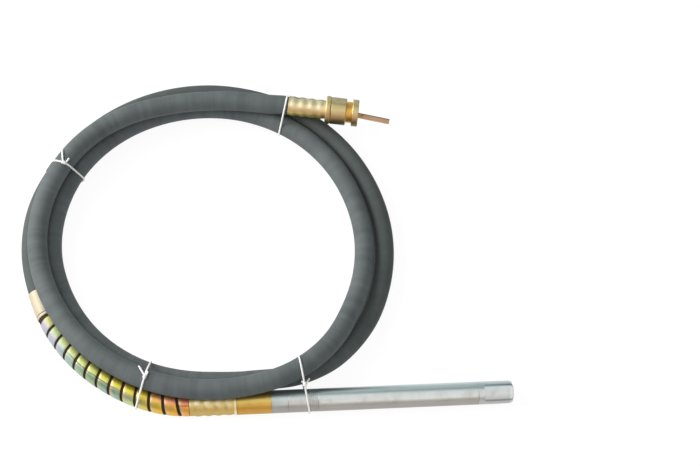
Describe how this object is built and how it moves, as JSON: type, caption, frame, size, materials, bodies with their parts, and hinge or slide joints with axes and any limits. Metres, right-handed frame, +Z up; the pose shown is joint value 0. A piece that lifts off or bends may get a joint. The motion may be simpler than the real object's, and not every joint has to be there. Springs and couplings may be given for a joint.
{
  "type": "concrete vibrator",
  "caption": "Flexible-shaft concrete vibrator: steel poker head with a rolling pendulum, coiled rubber drive hose with strip guard, and a motor coupling with a square drive tip.",
  "frame": {"origin": "on the floor under the middle of the head, which lies on the string below it", "axes": "+X along the head towards its nose, +Y to the side where the hose is coiled, +Z up"},
  "size_m": [0.7799, 0.592, 0.0767],
  "materials": {
    "bright_steel": "ground, slightly warm",
    "ground_steel": "ground, with turned grooves",
    "dull_steel": "dull turned steel",
    "zinc_ochre": "ochre zinc plating, satin",
    "zinc_gold": "gold zinc plating, satin",
    "zinc_pale_gold": "pale gold zinc plating, satin",
    "zinc_rainbow": "iridescent zinc plating",
    "inner_steel": "ground and oiled",
    "bearing_steel": "polished",
    "cage_brass": "pressed",
    "core_copper": "drawn wire, copper-coloured",
    "hose_rubber": "matt, slate grey",
    "black_rubber": "matt",
    "white_string": "twisted cord"
  },
  "bodies": {
    "poker": {"head_tube": "bright_steel", "nose_cap": "bright_steel", "bearing_housing": "ground_steel", "seal_housing": "dull_steel", "hose_connector": "zinc_ochre", "head_ferrule": "zinc_gold", "raceway": "inner_steel", "oil_seal": "black_rubber", "bearing_outer_rings": "bearing_steel", "outer_spacer": "inner_steel", "flexible_core": "core_copper", "hose": "hose_rubber", "guard_band": "zinc_rainbow", "guard_strip": "zinc_rainbow", "string_ties": "white_string", "motor_ferrule": "zinc_pale_gold", "stop_ring": "zinc_pale_gold", "coupling_body": "zinc_pale_gold"},
    "spindle": {"drive_spindle": "inner_steel", "spindle_nut": "inner_steel", "bearing_inner_rings": "bearing_steel", "inner_spacer": "inner_steel", "core_end": "core_copper", "rubber_coupling": "black_rubber"},
    "ball_set": {"bearing_balls": "bearing_steel", "ball_cages": "cage_brass"},
    "pendulum": {"pendulum_rotor": "inner_steel"},
    "tip": {"drive_tip": "core_copper"}
  },
  "joints": [
    {"name": "spindle_spin", "type": "hinge", "parent": "poker", "child": "spindle", "pos_m": [-0.076, 0, 0.0194], "axis": [1, 0, 0], "continuous": true},
    {"name": "drive_tip_spin", "type": "hinge", "parent": "poker", "child": "tip", "pos_m": [-0.00571, 0.49734, 0.05115], "axis": [0.9708, -0.1891, -0.1477], "continuous": true},
    {"name": "ball_set_spin", "type": "hinge", "parent": "poker", "child": "ball_set", "pos_m": [-0.07575, 0, 0.0194], "axis": [1, 0, 0], "continuous": true},
    {"name": "pendulum_orbit", "type": "hinge", "parent": "poker", "child": "pendulum", "pos_m": [-0.0055, 0, 0.0194], "axis": [1, 0, 0], "continuous": true}
  ],
  "couplings": [
    {"joint": "drive_tip_spin", "follows": "spindle_spin", "ratio": 1},
    {"joint": "ball_set_spin", "follows": "spindle_spin", "ratio": 0.3678},
    {"joint": "pendulum_orbit", "follows": "spindle_spin", "ratio": -4.75}
  ]
}
